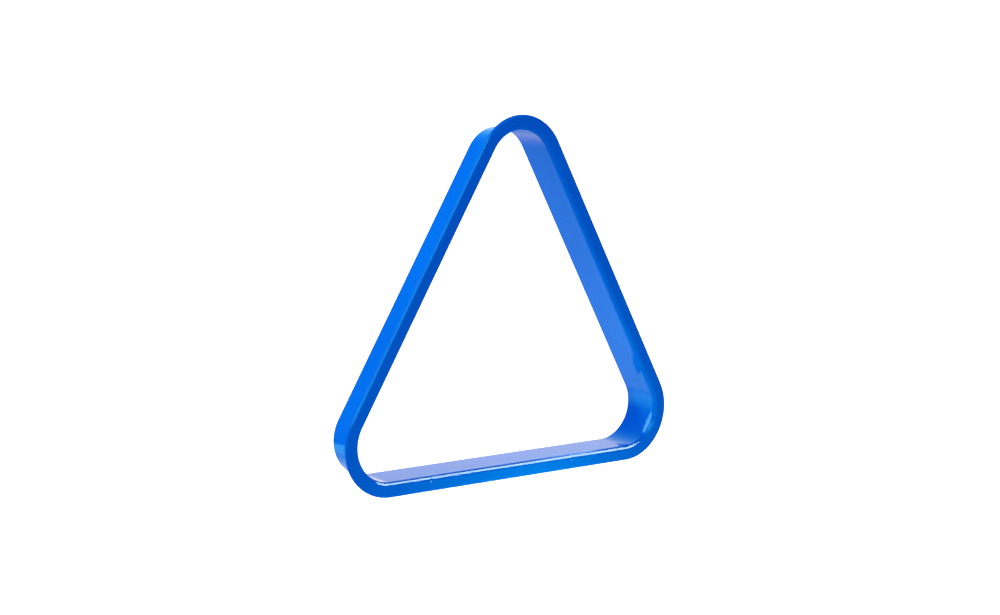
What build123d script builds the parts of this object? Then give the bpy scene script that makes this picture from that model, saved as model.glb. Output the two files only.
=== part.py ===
"""Triangle rack for fifteen pool balls: a thin wall with a flange turned outward along its top.

The rack lies flat, as it is used. +Z is up, +X runs along the base rail and +Y points to the apex.
The origin is on the table, under the middle of the rack's outline.
The rack is one moulding. It is divided where its straight rails meet its round corners.
"""
import os
from math import sqrt

from build123d import *

# Driving dimensions, in millimetres
BALL_DIAMETER = 57.15      # standard pool ball
BALLS_PER_SIDE = 5
BALL_CLEARANCE = 0.15      # between an outer ball and the wall
HEIGHT = 33.3              # from the table to the top of the flange
WALL_THICKNESS = 1.4
FLANGE_THICKNESS = 2.4
FLANGE_REACH = 11.6        # from the wall's inner face to the rim
INNER_ROUND = 3.4          # where the inner face turns into the flange's top
RIM_ROUND = 2.0            # top edge of the flange's rim
EDGE_ROUND = 0.3           # every other outer edge of the section

# Every corner turns about the middle of a corner ball, so the rails lie along the
# sides of the triangle that joins those three middles.
SIDE = (BALLS_PER_SIDE - 1) * BALL_DIAMETER
TRIANGLE_HEIGHT = SIDE * sqrt(3) / 2
CORNER_TURN = 120          # degrees of arc in each corner
BASE_Y = -TRIANGLE_HEIGHT / 2
MIDDLE = Axis((0, BASE_Y + TRIANGLE_HEIGHT / 3, 0), (0, 0, 1))

# The plane in which the base rail meets the right corner, with the section's X outward and Y up
RIGHT_END = Plane(origin=(SIDE / 2, BASE_Y, 0), x_dir=(0, -1, 0), z_dir=(-1, 0, 0))


def wall_section():
    """Give the section, with X outward from the line of ball middles and Y upward."""
    inner = BALL_DIAMETER / 2 + BALL_CLEARANCE
    outer = inner + WALL_THICKNESS
    rim = inner + FLANGE_REACH
    under_flange = HEIGHT - FLANGE_THICKNESS
    rounds = {
        (inner, 0): EDGE_ROUND,
        (outer, 0): EDGE_ROUND,
        (outer, under_flange): INNER_ROUND - WALL_THICKNESS,
        (rim, under_flange): EDGE_ROUND,
        (rim, HEIGHT): RIM_ROUND,
        (inner, HEIGHT): INNER_ROUND,
    }
    section = make_face(Polyline(*rounds, close=True))
    for (x, y), radius in rounds.items():
        corner = section.vertices().sort_by_distance((x, y, 0))[0]
        section = fillet(corner, radius)
    return section


def base_rail(section):
    """Run the section along the base, between the middles of the two base corners."""
    return extrude(RIGHT_END * section, amount=SIDE)


def right_corner(section):
    """Turn the section about the middle of the right corner ball."""
    upright = Axis((SIDE / 2, BASE_Y, 0), (0, 0, 1))
    return revolve(RIGHT_END * section, axis=upright, revolution_arc=CORNER_TURN)


def write_parts():
    """Write the three rails and three corners, which are one rail and one corner turned round."""
    section = wall_section()
    rail = base_rail(section)
    corner = right_corner(section)
    turns = (
        (0, "base_rail", "right_corner"),
        (CORNER_TURN, "right_rail", "apex_corner"),
        (2 * CORNER_TURN, "left_rail", "left_corner"),
    )
    os.makedirs("parts", exist_ok=True)
    for angle, rail_name, corner_name in turns:
        export_step(rail.rotate(MIDDLE, angle), f"parts/{rail_name}.step")
        export_step(corner.rotate(MIDDLE, angle), f"parts/{corner_name}.step")


write_parts()
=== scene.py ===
"""Looks of the triangle rack: one gloss blue moulding, lying flat on a pale floor.

Every size that belongs to the object, apart from its pin marks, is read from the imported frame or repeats
a driving dimension of the part, in metres. The rack is drawn in the same six pieces as its frame, and
their surfaces run on from one to the next without a break in position or shading.
"""
from collections import namedtuple
from math import cos, pi, radians, sin, sqrt

import bpy
from mathutils import Matrix, Vector


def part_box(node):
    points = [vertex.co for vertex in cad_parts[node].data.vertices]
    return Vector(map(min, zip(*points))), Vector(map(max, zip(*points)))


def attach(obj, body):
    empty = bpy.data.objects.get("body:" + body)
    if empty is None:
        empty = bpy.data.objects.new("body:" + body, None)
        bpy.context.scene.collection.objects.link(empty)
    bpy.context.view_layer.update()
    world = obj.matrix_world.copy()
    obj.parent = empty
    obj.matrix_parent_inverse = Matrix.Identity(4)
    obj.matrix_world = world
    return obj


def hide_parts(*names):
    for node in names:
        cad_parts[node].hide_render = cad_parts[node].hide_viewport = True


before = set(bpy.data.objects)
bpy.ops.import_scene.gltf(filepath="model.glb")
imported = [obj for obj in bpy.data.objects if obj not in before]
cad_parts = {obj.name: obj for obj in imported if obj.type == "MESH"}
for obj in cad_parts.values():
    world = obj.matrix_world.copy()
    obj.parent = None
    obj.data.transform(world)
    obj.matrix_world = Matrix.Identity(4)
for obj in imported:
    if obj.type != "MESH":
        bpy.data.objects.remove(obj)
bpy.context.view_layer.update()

# The section's sizes, in metres, as in the part
BALL_DIAMETER = 0.05715
BALLS_PER_SIDE = 5
BALL_CLEARANCE = 0.00015
WALL_THICKNESS = 0.0014
FLANGE_THICKNESS = 0.0024
FLANGE_REACH = 0.0116
INNER_ROUND = 0.0034
RIM_ROUND = 0.0020
EDGE_ROUND = 0.0003

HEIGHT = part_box("base_rail")[1].z
SIDE = (BALLS_PER_SIDE - 1) * BALL_DIAMETER
TRIANGLE_HEIGHT = SIDE * sqrt(3) / 2
BASE_Y = -TRIANGLE_HEIGHT / 2
MIDDLE = Vector((0, BASE_Y + TRIANGLE_HEIGHT / 3, 0))
INNER = BALL_DIAMETER / 2 + BALL_CLEARANCE
OUTER = INNER + WALL_THICKNESS
RIM = INNER + FLANGE_REACH
CORNER_TURN = 120            # degrees of arc in each corner
CORNER_START = 30            # degrees from +X to where the right corner meets the right rail

# Round marks that the mould's pins left: where along the rail, where on the section as (out, up), which
# way the skin faces there, radius, and depth
Mark = namedtuple("Mark", "along out up facing radius depth")
FLANGE_PIN = {"up": HEIGHT, "facing": Vector((0, 1)), "radius": 0.0016, "depth": 0.0005}
MARKS = {
    "base_rail": (
        Mark(along=-0.079, out=INNER + 0.0026, **FLANGE_PIN),
        Mark(along=0.056, out=INNER + 0.0036, **FLANGE_PIN),
    ),
    "left_rail": (Mark(along=0, out=OUTER, up=0.014, facing=Vector((1, 0)), radius=0.0028, depth=0.0007),),
    "right_rail": (),
}
MARK_FLOOR = 0.4             # of a mark's radius: how far its flat middle reaches

# How a mark finds the flat stretch of the section that it lies on
SAME_WAY = 0.999             # least cosine between the stretch's normal and the way the mark faces
ON_FACE = 0.0003             # most metres from the stretch to the mark's middle

# Fineness of the meshes
ARC_STEP = radians(7.5)      # between points on a round of the section
CORNER_STEPS = 96            # stations in a corner's turn
RAIL_STEPS = 120             # stations along a rail
MARK_STEPS = 10              # rows of points from a mark's middle to its edge

# The camera stands to the left of the rack's face and looks down on it, with the apex at the top
CAMERA_YAW = radians(37.65)
CAMERA_PITCH = radians(8.22)
CAMERA_ROLL = radians(1.30)
CAMERA_DISTANCE = 1.370
CAMERA_AIM = Vector((-0.0058, -0.0082, HEIGHT / 2))
CAMERA_LENS = 64.52

# What the gloss sees by direction, as (azimuth in degrees from +X, radiance). The paper is below the
# horizon: nearly white in front and on the right, dim between those, cyan elsewhere, and with an edge on
# the left. Straight down it has the underfoot colour. The studio is above the horizon: deep blue, with a
# bright cyan screen behind on the left.
STUDIO_STRENGTH = 10.5
PAPER = (
    (-180, (0.0, 0.5, 1.0)),
    (-178.5, (0.0, 0.5, 1.0)),
    (-177, (0.0, 1.5, 1.5)),
    (-160, (0.3, 3.6, 2.8)),
    (-145, (0.6, 4.2, 3.0)),
    (-130, (0.9, 3.2, 2.2)),
    (-120, (0.45, 1.7, 1.1)),
    (-80, (1.5, 1.7, 1.4)),
    (-60, (1.3, 1.5, 1.2)),
    (-45, (0.4, 0.6, 0.6)),
    (-12, (0.4, 0.6, 0.6)),
    (0, (1.75, 1.75, 1.5)),
    (25, (1.35, 1.6, 1.5)),
    (40, (1.25, 2.1, 1.8)),
    (60, (0.6, 2.1, 1.9)),
    (80, (0.2, 1.7, 1.6)),
    (100, (0.03, 0.9, 1.2)),
    (125, (0.0, 0.6, 1.1)),
)
UNDERFOOT = (1.0, 1.2, 1.2)
STUDIO = (
    (110, (0.0, 0.3, 2.0)),
    (125, (0.5, 10.5, 10.5)),
    (145, (0.5, 10.5, 10.5)),
    (155, (0.0, 0.3, 2.0)),
)

# Where that changes, by the direction's Z, which is -1 straight down
HORIZON = (-0.05, 0.05)              # from the paper to the studio
PAPER_FADING = (-0.735, -0.66)       # from the near paper to the far paper
PAPER_SHARES = (1.0, 0.15)           # of the paper's radiance, near and far
UNDERFOOT_FADING = (-0.84, -0.94)    # from the paper to the underfoot colour

# Cards on the floor that only the gloss sees, from the middle of the corner beside them: one draws the
# streak in the right corner, the other holds back the paper's edge on the left corner
CARD_HEIGHT = 0.0002
STREAK_CARD = (
    (-0.012, -0.005), (0.0008, -0.004), (0.0020, -0.0010), (0.0054, 0.0026),
    (0.0090, 0.0044), (0.0118, 0.0060), (0.0060, 0.0160), (-0.030, 0.040), (-0.040, 0.024),
)
EDGE_CARD = (
    (-0.0302, -0.0020), (-0.0302, 0.0090), (-0.060, 0.018),
    (-0.060, -0.0130), (-0.0423, -0.0065), (-0.0325, -0.0030),
)

# The two colours between which the plastic's flow varies, and the floor
DARKER_BLUE = (0.0, 0.060, 0.448, 1)
LIGHTER_BLUE = (0.0, 0.067, 0.476, 1)
FLOOR_SIZE = 12
FLOOR_GREY = (0.45, 0.45, 0.45, 1)
FLOOR_GLOW = 1.6

# A Mix node's sockets for colours, by number because its other sockets have the same names
MIX_FIRST, MIX_SECOND, MIX_RESULT = 6, 7, 2


def section_outline():
    """Give the section's closed outline as (out, up, normal out, normal up), with its rounds exact."""
    under_flange = HEIGHT - FLANGE_THICKNESS
    corners = [
        (INNER, 0, EDGE_ROUND),
        (OUTER, 0, EDGE_ROUND),
        (OUTER, under_flange, INNER_ROUND - WALL_THICKNESS),
        (RIM, under_flange, EDGE_ROUND),
        (RIM, HEIGHT, RIM_ROUND),
        (INNER, HEIGHT, INNER_ROUND),
    ]
    outline = []
    for i, (out, up, radius) in enumerate(corners):
        here = Vector((out, up))
        back = (Vector(corners[i - 1][:2]) - here).normalized()
        ahead = (Vector(corners[(i + 1) % len(corners)][:2]) - here).normalized()
        centre = here + (back + ahead) * radius
        is_convex = back.x * ahead.y - back.y * ahead.x < 0
        side = 1 if is_convex else -1
        steps = round(pi / 2 / ARC_STEP)
        for k in range(steps + 1):
            angle = pi / 2 * k / steps
            spoke = -ahead * cos(angle) - back * sin(angle)
            point = centre + spoke * radius
            outline.append((point.x, point.y, spoke.x * side, spoke.y * side))
    return outline


def mark_places(middle, radius):
    """Give the close-set places from one edge of a mark to the other."""
    return [middle + radius * k / MARK_STEPS for k in range(-MARK_STEPS, MARK_STEPS + 1)]


def marked_outline(marks):
    """Give the section's outline, with rows of points across each mark on its flat stretches."""
    outline = section_outline()
    rows = []
    for i, start in enumerate(outline):
        rows.append(start)
        end = outline[(i + 1) % len(outline)]
        run = Vector(end[:2]) - Vector(start[:2])
        places = set()
        for mark in marks:
            offset = Vector((mark.out, mark.up)) - Vector(start[:2])
            cosine = min(Vector(start[2:]).dot(mark.facing), Vector(end[2:]).dot(mark.facing))
            if cosine > SAME_WAY and abs(offset.dot(mark.facing)) < ON_FACE:
                places.update(mark_places(offset.dot(run.normalized()), mark.radius))
        for place in sorted(places):
            if 0 < place < run.length:
                point = Vector(start[:2]) + run.normalized() * place
                rows.append((point.x, point.y, *start[2:]))
    return rows


def rail_stations(marks):
    """Give the base rail's stations as (middle, outward), from its right end to its left."""
    places = [SIDE * (0.5 - k / RAIL_STEPS) for k in range(RAIL_STEPS + 1)]
    for mark in marks:
        places = [place for place in places if abs(place - mark.along) > mark.radius]
        places += mark_places(mark.along, mark.radius)
    for place in sorted(places, reverse=True):
        yield Vector((place, BASE_Y, 0)), Vector((0, -1, 0))


def corner_stations():
    """Give the right corner's stations, from the right rail's end to the base rail's."""
    middle = Vector((SIDE / 2, BASE_Y, 0))
    for k in range(CORNER_STEPS + 1):
        angle = radians(CORNER_START - CORNER_TURN * k / CORNER_STEPS)
        yield middle, Vector((cos(angle), sin(angle), 0))


def pressed(point, normal, mark):
    """Press a point of the base rail's skin in where a mark covers it, and tilt its normal."""
    facing = Vector((0, -mark.facing.x, mark.facing.y))
    offset = point - Vector((mark.along, BASE_Y - mark.out, mark.up))
    share = (offset.length / mark.radius - MARK_FLOOR) / (1 - MARK_FLOOR)
    if share >= 1 or normal.dot(facing) <= 0:
        return point, normal
    share = max(share, 0)
    slope = mark.depth * pi * sin(pi * share) / (2 * mark.radius * (1 - MARK_FLOOR))
    sunk = point - normal * mark.depth * (1 + cos(pi * share)) / 2
    return sunk, (normal - offset.normalized() * slope).normalized()


def swept_points(outline, stations, marks):
    """Give the points and normals of the outline at every station, with the marks pressed in."""
    points, normals = [], []
    for middle, outward in stations:
        for out, up, normal_out, normal_up in outline:
            point = middle + outward * out + Vector((0, 0, up))
            normal = outward * normal_out + Vector((0, 0, normal_up))
            for mark in marks:
                point, normal = pressed(point, normal, mark)
            points.append(point)
            normals.append(normal)
    return points, normals


def swept_faces(rings, count):
    """Give the faces that join rings of that many points, and a cap at each end."""
    faces = []
    for ring in range(rings - 1):
        for i in range(count):
            a, b = ring * count + i, ring * count + (i + 1) % count
            faces.append((a, b, b + count, a + count))
    faces.append(tuple(reversed(range(count))))
    faces.append(tuple(range((rings - 1) * count, rings * count)))
    return faces


def swept_piece(name, stations, angle, material, marks=()):
    """Sweep the section through the stations, turned about the rack's middle, as a closed mesh."""
    turn = Matrix.Translation(MIDDLE) @ Matrix.Rotation(radians(angle), 4, "Z") @ Matrix.Translation(-MIDDLE)
    turn_only = turn.to_3x3()
    outline = marked_outline(marks)
    count = len(outline)
    points, normals = swept_points(outline, stations, marks)
    mesh = bpy.data.meshes.new(name)
    mesh.from_pydata([turn @ point for point in points], [], swept_faces(len(points) // count, count))
    mesh.validate()
    mesh.shade_smooth()
    shading = []
    for polygon in mesh.polygons:
        is_cap = polygon.loop_total == count
        for index in polygon.vertices:
            shading.append(polygon.normal.copy() if is_cap else turn_only @ normals[index])
    mesh.normals_split_custom_set(shading)
    mesh.materials.append(material)
    piece = bpy.data.objects.new(name, mesh)
    bpy.context.collection.objects.link(piece)
    return piece


def new_material(name):
    """Start a node material and give its tree and shader."""
    material = bpy.data.materials.new(name)
    material.use_nodes = True
    return material, material.node_tree, material.node_tree.nodes["Principled BSDF"]


def noise(tree, place, scale, detail):
    """Add a noise texture and give its value."""
    texture = tree.nodes.new("ShaderNodeTexNoise")
    texture.inputs["Scale"].default_value = scale
    texture.inputs["Detail"].default_value = detail
    tree.links.new(place, texture.inputs["Vector"])
    return texture.outputs["Fac"]


def map_range(tree, value, source, target=(0, 1)):
    """Add a node that carries a value over from the source range to the target range."""
    node = tree.nodes.new("ShaderNodeMapRange")
    node.inputs["From Min"].default_value = source[0]
    node.inputs["From Max"].default_value = source[1]
    node.inputs["To Min"].default_value = target[0]
    node.inputs["To Max"].default_value = target[1]
    tree.links.new(value, node.inputs["Value"])
    return node.outputs["Result"]


def blue_plastic():
    """Gloss blue moulded plastic: faint flow variation in colour and gloss, and a slightly wavy skin."""
    material, tree, shader = new_material("blue_plastic")
    nodes, links = tree.nodes, tree.links
    shader.inputs["IOR"].default_value = 1.25
    place = nodes.new("ShaderNodeTexCoord").outputs["Object"]

    tone = nodes.new("ShaderNodeValToRGB")
    tone.color_ramp.elements[0].position = 0.35
    tone.color_ramp.elements[0].color = DARKER_BLUE
    tone.color_ramp.elements[1].position = 0.65
    tone.color_ramp.elements[1].color = LIGHTER_BLUE
    links.new(noise(tree, place, scale=14, detail=3), tone.inputs["Fac"])
    links.new(tone.outputs["Color"], shader.inputs["Base Color"])

    handling = noise(tree, place, scale=60, detail=5)
    links.new(map_range(tree, handling, source=(0, 1), target=(0.05, 0.11)), shader.inputs["Roughness"])

    skin = nodes.new("ShaderNodeBump")
    skin.inputs["Strength"].default_value = 0.12
    skin.inputs["Distance"].default_value = 0.0004
    links.new(noise(tree, place, scale=45, detail=2), skin.inputs["Height"])
    links.new(skin.outputs["Normal"], shader.inputs["Normal"])
    return material


def make_rack():
    """Make the three rails and three corners, which are one rail and one corner turned round."""
    plastic = blue_plastic()
    turns = (
        (0, "base_rail", "right_corner"),
        (CORNER_TURN, "right_rail", "apex_corner"),
        (2 * CORNER_TURN, "left_rail", "left_corner"),
    )
    for angle, rail_name, corner_name in turns:
        marks = MARKS[rail_name]
        rail = swept_piece(rail_name + "_skin", rail_stations(marks), angle, plastic, marks)
        corner = swept_piece(corner_name + "_skin", corner_stations(), angle, plastic)
        for piece, node in ((rail, rail_name), (corner, corner_name)):
            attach(piece, "root")
            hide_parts(node)


def make_floor():
    """Lay the pale floor, which glows, so that shadows on it stay faint. The gloss doesn't see it."""
    material, tree, shader = new_material("pale_floor")
    shader.inputs["Base Color"].default_value = FLOOR_GREY
    shader.inputs["Roughness"].default_value = 1
    shader.inputs["Specular IOR Level"].default_value = 0
    shader.inputs["Emission Color"].default_value = (1, 1, 1, 1)
    shader.inputs["Emission Strength"].default_value = FLOOR_GLOW
    bpy.ops.mesh.primitive_plane_add(size=FLOOR_SIZE, location=(0, 0, 0))
    floor = bpy.context.object
    floor.name = "floor"
    floor.data.materials.append(material)
    floor.visible_glossy = False


def gather_window_side():
    """Gather the pieces along the base, the only ones that the window and the cards light."""
    window_side = bpy.data.collections.new("window_side")
    for name in ("left_corner_skin", "base_rail_skin", "right_corner_skin"):
        window_side.objects.link(bpy.data.objects[name])
    return window_side


def make_card(name, side, outline, colour, strength, window_side):
    """Lay a card for the gloss on the floor by the right corner, side 1, or the left, side -1."""
    mesh = bpy.data.meshes.new(name)
    corner = Vector((side * SIDE / 2, BASE_Y, 0))
    points = [corner + Vector((x, y, CARD_HEIGHT)) for x, y in outline]
    mesh.from_pydata(points, [], [tuple(range(len(points)))])
    material, tree, shader = new_material(name)
    shader.inputs["Base Color"].default_value = (0, 0, 0, 1)
    shader.inputs["Specular IOR Level"].default_value = 0
    shader.inputs["Emission Color"].default_value = (*colour, 1)
    shader.inputs["Emission Strength"].default_value = strength
    mesh.materials.append(material)
    card = bpy.data.objects.new(name, mesh)
    card.visible_camera = False
    card.visible_diffuse = False
    card.visible_shadow = False
    bpy.context.collection.objects.link(card)
    card.light_linking.receiver_collection = window_side


def studio_colour(radiance):
    """Give the colour that has this radiance at the studio's strength."""
    return [part / STUDIO_STRENGTH for part in radiance] + [1]


def light_ramp(tree, azimuth, stops):
    """Add a ramp of the stops' radiances over the azimuth, which is 0 at -180 degrees and 1 at 180."""
    ramp = tree.nodes.new("ShaderNodeValToRGB")
    while len(ramp.color_ramp.elements) < len(stops):
        ramp.color_ramp.elements.new(1)
    for element, (degrees, radiance) in zip(ramp.color_ramp.elements, stops):
        element.position = (degrees + 180) / 360
        element.color = studio_colour(radiance)
    tree.links.new(azimuth, ramp.inputs["Fac"])
    return ramp.outputs["Color"]


def mix_colours(tree, share):
    """Add a node that mixes two colours, with this share of the second."""
    mix = tree.nodes.new("ShaderNodeMix")
    mix.data_type = "RGBA"
    tree.links.new(share, mix.inputs["Factor"])
    return mix


def studio_by_direction(tree):
    """Give the colour of what the gloss sees in each direction: the paper, and the studio above it."""
    nodes, links = tree.nodes, tree.links
    direction = nodes.new("ShaderNodeSeparateXYZ")
    links.new(nodes.new("ShaderNodeTexCoord").outputs["Generated"], direction.inputs["Vector"])
    height = direction.outputs["Z"]
    angle = nodes.new("ShaderNodeMath")
    angle.operation = "ARCTAN2"
    links.new(direction.outputs["Y"], angle.inputs[0])
    links.new(direction.outputs["X"], angle.inputs[1])
    azimuth = map_range(tree, angle.outputs["Value"], source=(-pi, pi))

    paper = nodes.new("ShaderNodeVectorMath")
    paper.operation = "SCALE"
    links.new(light_ramp(tree, azimuth, PAPER), paper.inputs[0])
    links.new(map_range(tree, height, PAPER_FADING, PAPER_SHARES), paper.inputs["Scale"])
    ground = mix_colours(tree, map_range(tree, height, UNDERFOOT_FADING))
    links.new(paper.outputs["Vector"], ground.inputs[MIX_FIRST])
    ground.inputs[MIX_SECOND].default_value = studio_colour(UNDERFOOT)
    studio = mix_colours(tree, map_range(tree, height, HORIZON))
    links.new(ground.outputs[MIX_RESULT], studio.inputs[MIX_FIRST])
    links.new(light_ramp(tree, azimuth, STUDIO), studio.inputs[MIX_SECOND])
    return studio.outputs[MIX_RESULT]


def make_world():
    """Surround the rack with an even white room, in place of which its gloss sees the studio."""
    world = bpy.data.worlds.new("studio")
    bpy.context.scene.world = world
    world.use_nodes = True
    tree = world.node_tree
    nodes, links = tree.nodes, tree.links
    room = nodes["Background"]
    room.inputs["Color"].default_value = (1, 1, 1, 1)
    reflected = nodes.new("ShaderNodeBackground")
    reflected.inputs["Strength"].default_value = STUDIO_STRENGTH
    links.new(studio_by_direction(tree), reflected.inputs["Color"])
    either = nodes.new("ShaderNodeMixShader")
    links.new(nodes.new("ShaderNodeLightPath").outputs["Is Glossy Ray"], either.inputs["Fac"])
    links.new(room.outputs["Background"], either.inputs[1])
    links.new(reflected.outputs["Background"], either.inputs[2])
    links.new(either.outputs["Shader"], nodes["World Output"].inputs["Surface"])


def soft_light(name, aim, toward, distance, size, radiance, colour, gloss=True, fill=True):
    """Hang a rectangular light at a distance from the aim, in the direction "toward", and face the aim."""
    data = bpy.data.lights.new(name, "AREA")
    data.shape = "RECTANGLE"
    data.size, data.size_y = size
    data.energy = radiance * pi * size[0] * size[1]
    data.color = colour
    light = bpy.data.objects.new(name, data)
    back = Vector(toward).normalized()
    light.location = Vector(aim) + back * distance
    light.rotation_euler = (-back).to_track_quat("-Z", "Y").to_euler()
    light.visible_glossy = gloss
    light.visible_diffuse = fill
    light.visible_camera = False
    bpy.context.collection.objects.link(light)
    return light


def make_lights(window_side):
    """Light the plastic's colour from the left and along the base, and give its gloss one window."""
    soft_light(
        "left_fill", aim=(0, 0, 0.02), toward=(-0.8, 0.58, 0.045), distance=1.0, size=(0.9, 0.14),
        radiance=26.0, colour=(1, 1, 0.4), gloss=False,
    )
    soft_light(
        "base_fill", aim=(0.01, -0.135, HEIGHT), toward=(0, -0.8, 0.6), distance=0.12, size=(0.14, 0.03),
        radiance=48.0, colour=(1, 1, 0.3), gloss=False,
    )
    window = soft_light(
        "window", aim=(0, BASE_Y - INNER, HEIGHT), toward=(0.592, 0.694, 0.407), distance=1.6,
        size=(1.21, 1.1), radiance=46.0, colour=(0.62, 0.88, 1), fill=False,
    )
    window.light_linking.receiver_collection = window_side


def make_camera():
    """Point the camera at the rack with its apex at the top of the picture."""
    back = Vector((
        -sin(CAMERA_YAW) * cos(CAMERA_PITCH),
        sin(CAMERA_PITCH),
        cos(CAMERA_YAW) * cos(CAMERA_PITCH),
    ))
    right = Vector((0, 1, 0)).cross(back).normalized()
    up = back.cross(right)
    turned_right = right * cos(CAMERA_ROLL) + up * sin(CAMERA_ROLL)
    turned_up = up * cos(CAMERA_ROLL) - right * sin(CAMERA_ROLL)
    data = bpy.data.cameras.new("camera")
    data.lens = CAMERA_LENS
    camera = bpy.data.objects.new("camera", data)
    bpy.context.collection.objects.link(camera)
    axes = Matrix((turned_right, turned_up, back)).transposed().to_4x4()
    camera.matrix_world = Matrix.Translation(CAMERA_AIM + back * CAMERA_DISTANCE) @ axes
    bpy.context.scene.camera = camera


make_rack()
make_floor()
window_side = gather_window_side()
make_card("streak_card", 1, STREAK_CARD, colour=(0.2, 0.62, 1), strength=22, window_side=window_side)
make_card("edge_card", -1, EDGE_CARD, colour=(0, 0.5, 1), strength=0.9, window_side=window_side)
make_world()
make_lights(window_side)
make_camera()
bpy.context.scene.view_settings.view_transform = "Standard"
